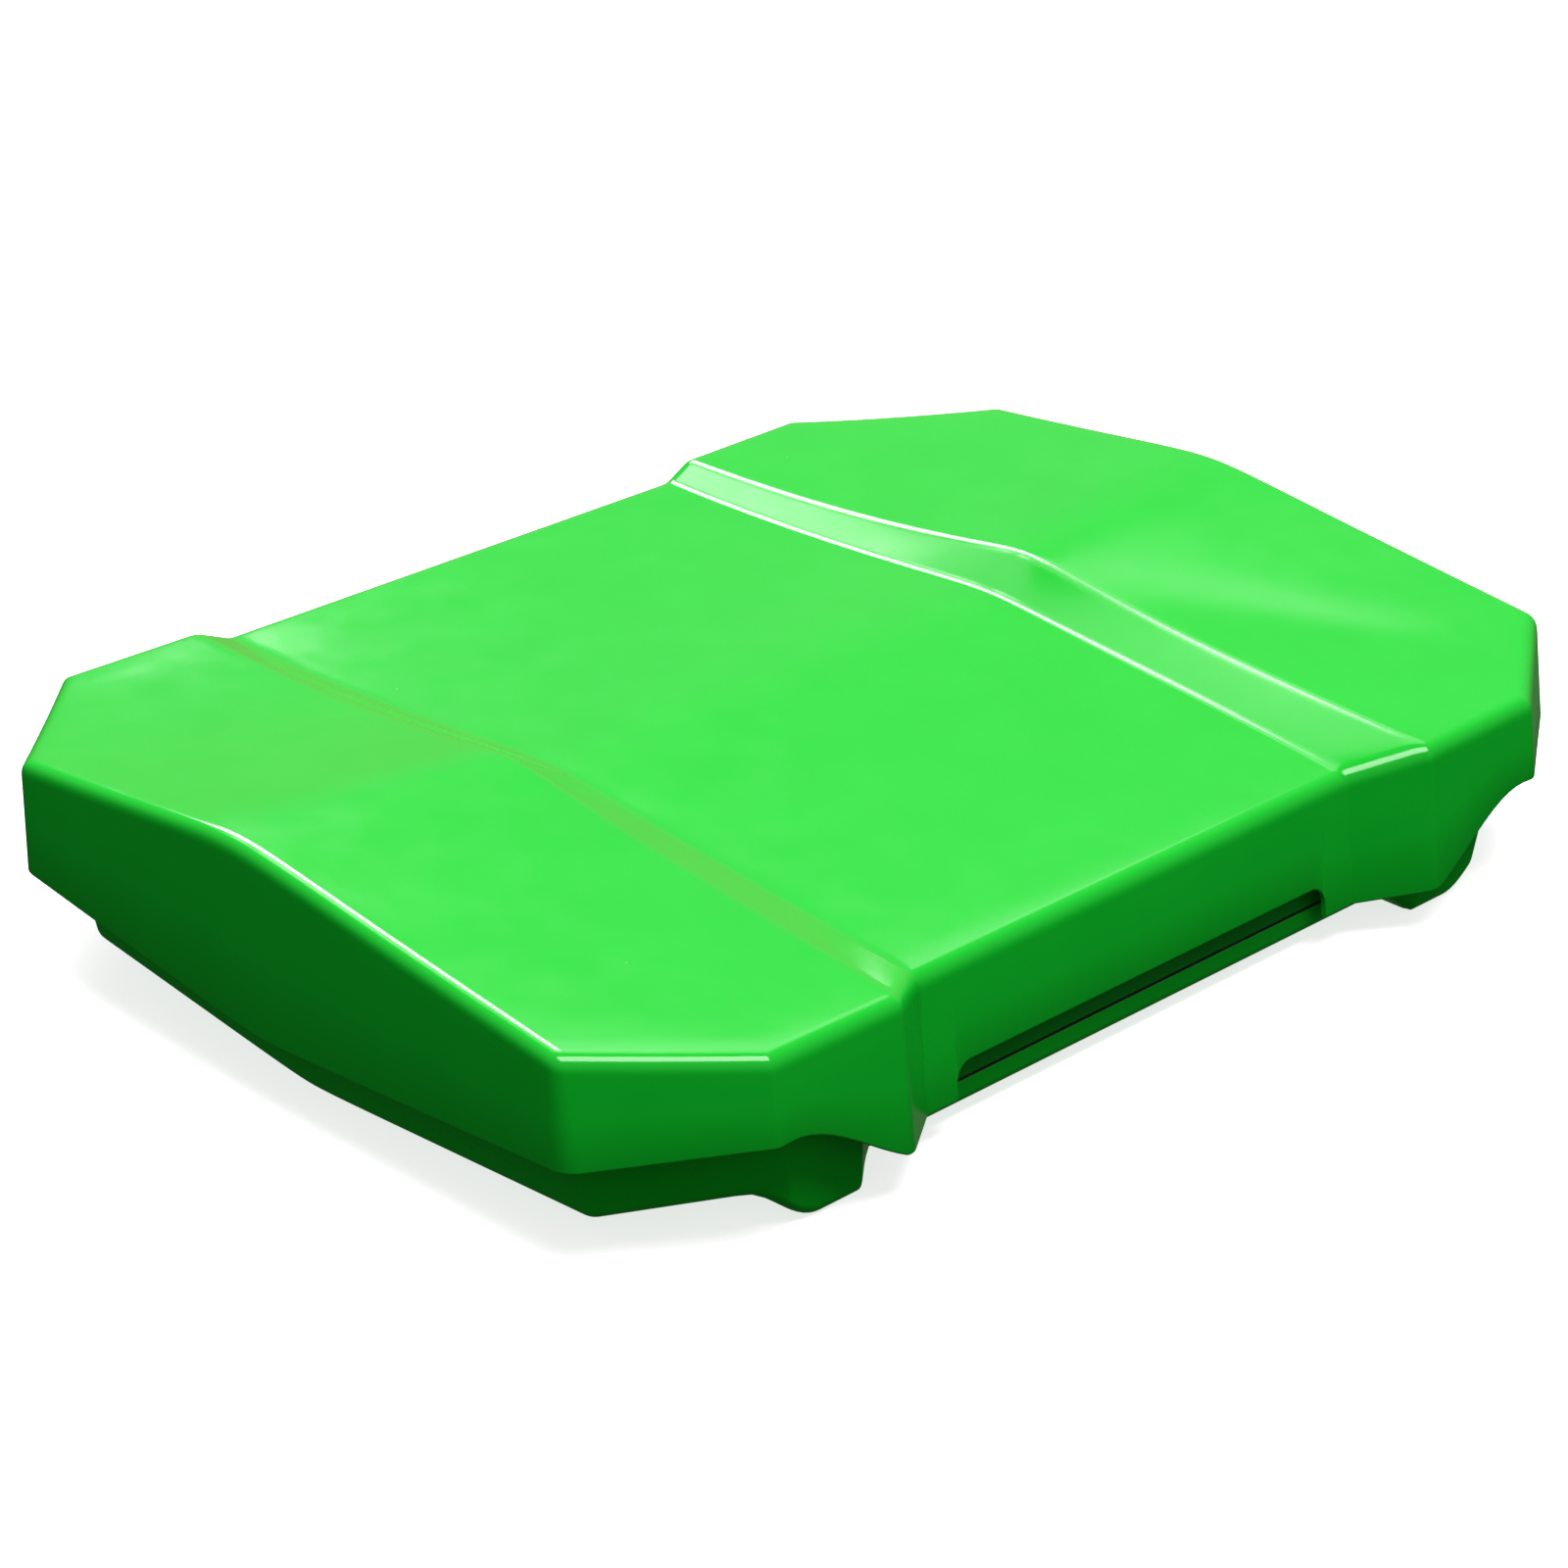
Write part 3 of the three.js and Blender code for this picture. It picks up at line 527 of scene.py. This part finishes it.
# Scales of the noises, in cells a metre. Three numbers are along X, Y and Z, and draw it into lines.
MOTTLE, SPECKS, SMEARS, PEEL, WAVES = 9.0, 170.0, 22.0, 330.0, 9.0
SCRATCHES = (16.0, 420.0, 60.0)
CLOUDS, SCUFFS = 60.0, 90.0
SPANGLE = 160.0
DRAWN_LINES = (260.0, 18.0, 260.0)

DUST = (0.75, 0.85, 0.72)
PLASTIC_IOR = 1.5
STEEL_METALLIC = 0.9


def gloss_plastic(name, colour, tint, gloss):
    """Moulded plastic: faint mottling, orange peel, fine scratches and a very few specks of dust."""
    material, tree, shader = new_material(name)
    plain = coordinates(tree)
    mottle = remap(tree, noise(tree, plain, MOTTLE, detail=4), (0.35, 0.65))
    base = mix_colour(tree, mottle, colour, tint)
    specks = remap(tree, noise(tree, plain, SPECKS, detail=1), (0.85, 0.88), (0.0, 0.6))
    dusty = mix_colour(tree, specks, base, DUST)
    tree.links.new(dusty, shader.inputs["Base Color"])
    streaks = noise(tree, coordinates(tree, SCRATCHES), 1.0, detail=2)
    scratches = remap(tree, streaks, (0.72, 0.80), (0.0, 0.10))
    smears = noise(tree, plain, SMEARS, detail=5)
    wear = remap(tree, smears, (0.3, 0.7), (gloss - 0.015, gloss + 0.03))
    tree.links.new(add(tree, wear, scratches), shader.inputs["Roughness"])
    peel = remap(tree, noise(tree, plain, PEEL, detail=2), (0.0, 1.0), (0.0, 0.05))
    waves = remap(tree, noise(tree, plain, WAVES, detail=1), (0.0, 1.0), (0.0, 0.4))
    bump(tree, shader, add(tree, peel, waves), strength=0.35, distance=0.0006)
    shader.inputs["IOR"].default_value = PLASTIC_IOR
    return material


def matte(name, colour, tint, rough, grain, depth):
    """Rubber or cured adhesive: cloudy, scuffed, and grainy to a depth in metres."""
    material, tree, shader = new_material(name)
    plain = coordinates(tree)
    cloud = remap(tree, noise(tree, plain, CLOUDS, detail=4), (0.3, 0.7))
    tree.links.new(mix_colour(tree, cloud, colour, tint), shader.inputs["Base Color"])
    scuffs = noise(tree, plain, SCUFFS, detail=3)
    wear = remap(tree, scuffs, (0.3, 0.7), (rough - 0.08, rough + 0.08))
    tree.links.new(wear, shader.inputs["Roughness"])
    bump(tree, shader, noise(tree, plain, grain, detail=3), strength=0.4, distance=depth)
    return material


def steel(name, colour, tint, rough):
    """Plated or blued steel with a faint spangle and drawn lines."""
    material, tree, shader = new_material(name)
    plain = coordinates(tree)
    cells = tree.nodes.new("ShaderNodeTexVoronoi")
    cells.inputs["Scale"].default_value = SPANGLE
    tree.links.new(plain, cells.inputs["Vector"])
    spangle = remap(tree, cells.outputs["Distance"], (0.0, 0.8))
    tree.links.new(mix_colour(tree, spangle, colour, tint), shader.inputs["Base Color"])
    lines = noise(tree, coordinates(tree, DRAWN_LINES), 1.0, detail=3)
    wear = remap(tree, lines, (0.25, 0.75), (rough - 0.1, rough + 0.12))
    tree.links.new(wear, shader.inputs["Roughness"])
    bump(tree, shader, lines, strength=0.2, distance=0.0002)
    shader.inputs["Metallic"].default_value = STEEL_METALLIC
    return material


# Each slot of the record: a name, two colours that the surface wanders between, and its roughness.
# The matte ones also have the size and the depth of their grain.
MATERIALS = {
    "roof_plastic": gloss_plastic("roof_green", (0.006, 0.615, 0.028), (0.008, 0.635, 0.031), 0.12),
    # The lower moulding's greens are lighter than the roof's: painted light, in place of the bounce
    # from the pale floor, which gives the part no diffuse light.
    "lower_plastic": gloss_plastic("lower_green_with_painted_bounce", (0.004, 0.72, 0.026), (0.006, 0.76, 0.030), 0.2),
    "liner_plastic": gloss_plastic("liner_green", (0.010, 0.42, 0.024), (0.012, 0.46, 0.028), 0.24),
    "rubber": matte("seal_rubber", (0.012, 0.014, 0.012), (0.03, 0.032, 0.03), 0.75, 700.0, 0.0003),
    "adhesive": matte("cured_bead", (0.60, 0.58, 0.50), (0.72, 0.70, 0.62), 0.6, 260.0, 0.0006),
    "zinc_steel": steel("zinc_plate", (0.52, 0.54, 0.56), (0.70, 0.72, 0.74), 0.38),
    "spring_steel": steel("blued_spring", (0.16, 0.18, 0.21), (0.30, 0.32, 0.35), 0.34),
}

# ---------------------------------------------------------------- CAD pieces

for entry in frame["record"]["subparts"]:
    mesh = frame["nodes"][entry["node"]].data
    mesh.materials.clear()
    mesh.materials.append(MATERIALS[entry["material_slot"]])

# ---------------------------------------------------------------- roof shell

ROOF_COLUMNS = columns(30, 1.5)         # close together near the crease
roof_sheets = moulding(
    ROOF_RIGHT, ROOF_LEFT, ROOF_END_DRAFT, ROOF_COLUMNS,
    centre=lambda y: crown_at(np.zeros_like(y), y)[0],
    height=roof_height, rim=skirt_height, wall=ROOF_WALL, edge=ROOF_EDGE, grow=-1,
    lip=round_lip(ROOF_WALL, LIP_RADIUS, -1),
)
roof = to_object("roof_skin", roof_sheets, MATERIALS["roof_plastic"])
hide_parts("roof_shell")

# ---------------------------------------------------------------- lower moulding

PAN_COLUMNS = columns(34, 1.15)
flange_end = PAN_WALL + FLANGE
pan_lip = [
    *round_lip(flange_end, RIM_RADIUS, 1)[:LIP_STEPS + 1],
    (flange_end, 0.0), (flange_end, -FLANGE_WALL), (PAN_WALL, -FLANGE_WALL),
]
pan_sheets = moulding(
    PAN_RIGHT, PAN_LEFT, PAN_END_DRAFT, PAN_COLUMNS,
    centre=lambda y: np.full_like(y, PAN["keel_x"]),
    height=pan_height, rim=seam_height, wall=PAN_WALL, edge=PAN_EDGE, grow=1, lip=pan_lip,
)
lower = to_object("lower_skin", pan_sheets, MATERIALS["lower_plastic"])

DRILL_SIDES = 40
DRILL_LENGTH = 4 * PAN_WALL


def post_hole_cutter():
    """Four upright drills, one through each foot."""
    work = bmesh.new()
    for x in FOOT_X.values():
        for y in (-FOOT_Y, FOOT_Y):
            drill = bmesh.ops.create_cone(
                work, cap_ends=True, segments=DRILL_SIDES, radius1=POST_HOLE * MM,
                radius2=POST_HOLE * MM, depth=DRILL_LENGTH * MM)
            middle = (x * MM, y * MM, PAN_WALL * MM / 2)
            bmesh.ops.translate(work, verts=drill["verts"], vec=middle)
    mesh = bpy.data.meshes.new("post_hole_cutter")
    work.to_mesh(mesh)
    work.free()
    cutter = bpy.data.objects.new("post_hole_cutter", mesh)
    bpy.context.scene.collection.objects.link(cutter)
    return cutter


def bore(piece, cutter):
    """Cuts the cutter out of the piece for good, and removes the cutter."""
    cut = piece.modifiers.new("bore", "BOOLEAN")
    cut.object = cutter
    cut.solver = "EXACT"
    bpy.context.view_layer.update()
    evaluated = piece.evaluated_get(bpy.context.evaluated_depsgraph_get())
    mesh = bpy.data.meshes.new_from_object(evaluated)
    piece.modifiers.clear()
    piece.data = mesh
    bpy.data.objects.remove(cutter)
    smooth(mesh)


bore(lower, post_hole_cutter())
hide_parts("lower_shell")

# ---------------------------------------------------------------- stage, light and camera

FLOOR_HALF = 14.0                       # metres
FLOOR_GREY, FLOOR_ROUGHNESS, FLOOR_GLOW = 0.96, 0.9, 0.75


def make_floor():
    """A pale floor that glows, so that it stays white around a weak contact shadow."""
    material, _, shader = new_material("pale_floor")
    shader.inputs["Base Color"].default_value = (FLOOR_GREY, FLOOR_GREY, FLOOR_GREY, 1)
    shader.inputs["Roughness"].default_value = FLOOR_ROUGHNESS
    shader.inputs["Emission Color"].default_value = (1, 1, 1, 1)
    shader.inputs["Emission Strength"].default_value = FLOOR_GLOW
    mesh = bpy.data.meshes.new("floor")
    h = FLOOR_HALF
    mesh.from_pydata([(-h, -h, 0), (h, -h, 0), (h, h, 0), (-h, h, 0)], [], [(0, 1, 2, 3)])
    mesh.materials.append(material)
    floor = bpy.data.objects.new("floor", mesh)
    floor.visible_diffuse = False
    floor.visible_glossy = False
    bpy.context.scene.collection.objects.link(floor)
    return floor


floor = make_floor()

CENTRE = Vector((-0.0065, 0.0, 0.103))  # in metres: what the camera and the lamps face


def direction(azimuth, elevation):
    """Unit vector at this compass angle from +X towards +Y, and this angle above the floor."""
    a, e = math.radians(azimuth), math.radians(elevation)
    return Vector((math.cos(a) * math.cos(e), math.sin(a) * math.cos(e), math.sin(e)))


def softbox(name, azimuth, elevation, wide, tall, radiance, roll=0.0, distance=12.0):
    """A rectangular lamp that faces the object: its place and size in degrees as seen from there.

    radiance is what its face shows, and roll turns it about the line to the object."""
    lamp = bpy.data.lights.new(name, "AREA")
    lamp.shape = "RECTANGLE"
    lamp.size, lamp.size_y = [2 * distance * math.tan(math.radians(a / 2)) for a in (wide, tall)]
    lamp.energy = radiance * lamp.size * lamp.size_y * math.pi
    piece = bpy.data.objects.new(name, lamp)
    toward = direction(azimuth, elevation)
    piece.location = CENTRE + toward * distance
    turned = toward.to_track_quat("Z", "Y") @ Quaternion((0, 0, 1), math.radians(roll))
    piece.rotation_euler = turned.to_euler()
    bpy.context.scene.collection.objects.link(piece)


# The key gives most of the light. The others are there to be seen in the gloss: the strip and the
# wide one as bright edges and a sheen on the rear step, the patches as its two bright spots.
LAMPS = dict(
    key_box=dict(azimuth=-16, elevation=73, wide=30, tall=30, radiance=8.9, distance=14.0),
    strip_box=dict(azimuth=146, elevation=38.5, wide=10.5, tall=30, radiance=13.0, roll=24),
    wide_box=dict(azimuth=143, elevation=51.5, wide=42, tall=25, radiance=1.6),
    patch_left=dict(azimuth=162, elevation=42.8, wide=5, tall=5, radiance=5.0),
    patch_right=dict(azimuth=161, elevation=53, wide=6, tall=6, radiance=7.0),
)

for lamp_name, setting in LAMPS.items():
    softbox(lamp_name, **setting)

WHITE = (1.0, 1.0, 1.0)
GROUND_TINT = (0.25, 1.0, 0.35)
WARM_TINT = (1.0, 0.42, 0.42)


def world_light():
    """Daylight that is soft above, weak low down and green below the horizon.

    Behind the part and to its left the sky has a sheen, with a low warm glow under it. The ranges
    are those of the direction's X, Y and Z, and the other numbers are strengths."""
    world = bpy.data.worlds.new("studio")
    bpy.context.scene.world = world
    world.use_nodes = True
    tree = world.node_tree
    back = tree.nodes["Background"]
    source = tree.nodes.new("ShaderNodeTexCoord")
    split = tree.nodes.new("ShaderNodeSeparateXYZ")
    tree.links.new(source.outputs["Generated"], split.inputs[0])
    x, y, z = split.outputs

    above = remap(tree, z, (0.0, 0.45), (0.05, 0.25))
    corner = multiply(tree, remap(tree, y, (0.2, 0.65)), remap(tree, x, (0.2, -0.4)))
    sheen = multiply(tree, corner, remap(tree, z, (0.1, 0.3), (0.0, 0.22)))
    fade_up = remap(tree, z, (0.12, 0.32), (0.4, 0.0))
    fade_down = remap(tree, z, (-0.4, -0.05), (0.3, 1.0))
    glow = multiply(tree, corner, multiply(tree, fade_up, fade_down))
    tree.links.new(add(tree, above, add(tree, sheen, glow)), back.inputs["Strength"])

    sky = remap(tree, z, (-0.1, 0.1))
    plain = mix_colour(tree, sky, GROUND_TINT, WHITE)
    warmth = multiply(tree, glow, remap(tree, glow, (0.0, 0.1), (0.0, 2.0)))
    tree.links.new(mix_colour(tree, warmth, plain, WARM_TINT), back.inputs["Color"])


world_light()

# The camera: degrees to the right of the front and above the floor, and metres from the centre.
AZIMUTH, ELEVATION, DISTANCE = 45.78, 25.64, 4.61944
SENSOR, LENS = 36.0, 104.38             # its width and focal length in millimetres
camera_data = bpy.data.cameras.new("camera")
camera_data.sensor_width = SENSOR
camera_data.lens = LENS
camera = bpy.data.objects.new("camera", camera_data)
view = direction(AZIMUTH - 90, ELEVATION)
camera.location = CENTRE + view * DISTANCE
camera.rotation_euler = view.to_track_quat("Z", "Y").to_euler()
bpy.context.scene.collection.objects.link(camera)
bpy.context.scene.camera = camera

bpy.context.scene.view_settings.view_transform = "Standard"
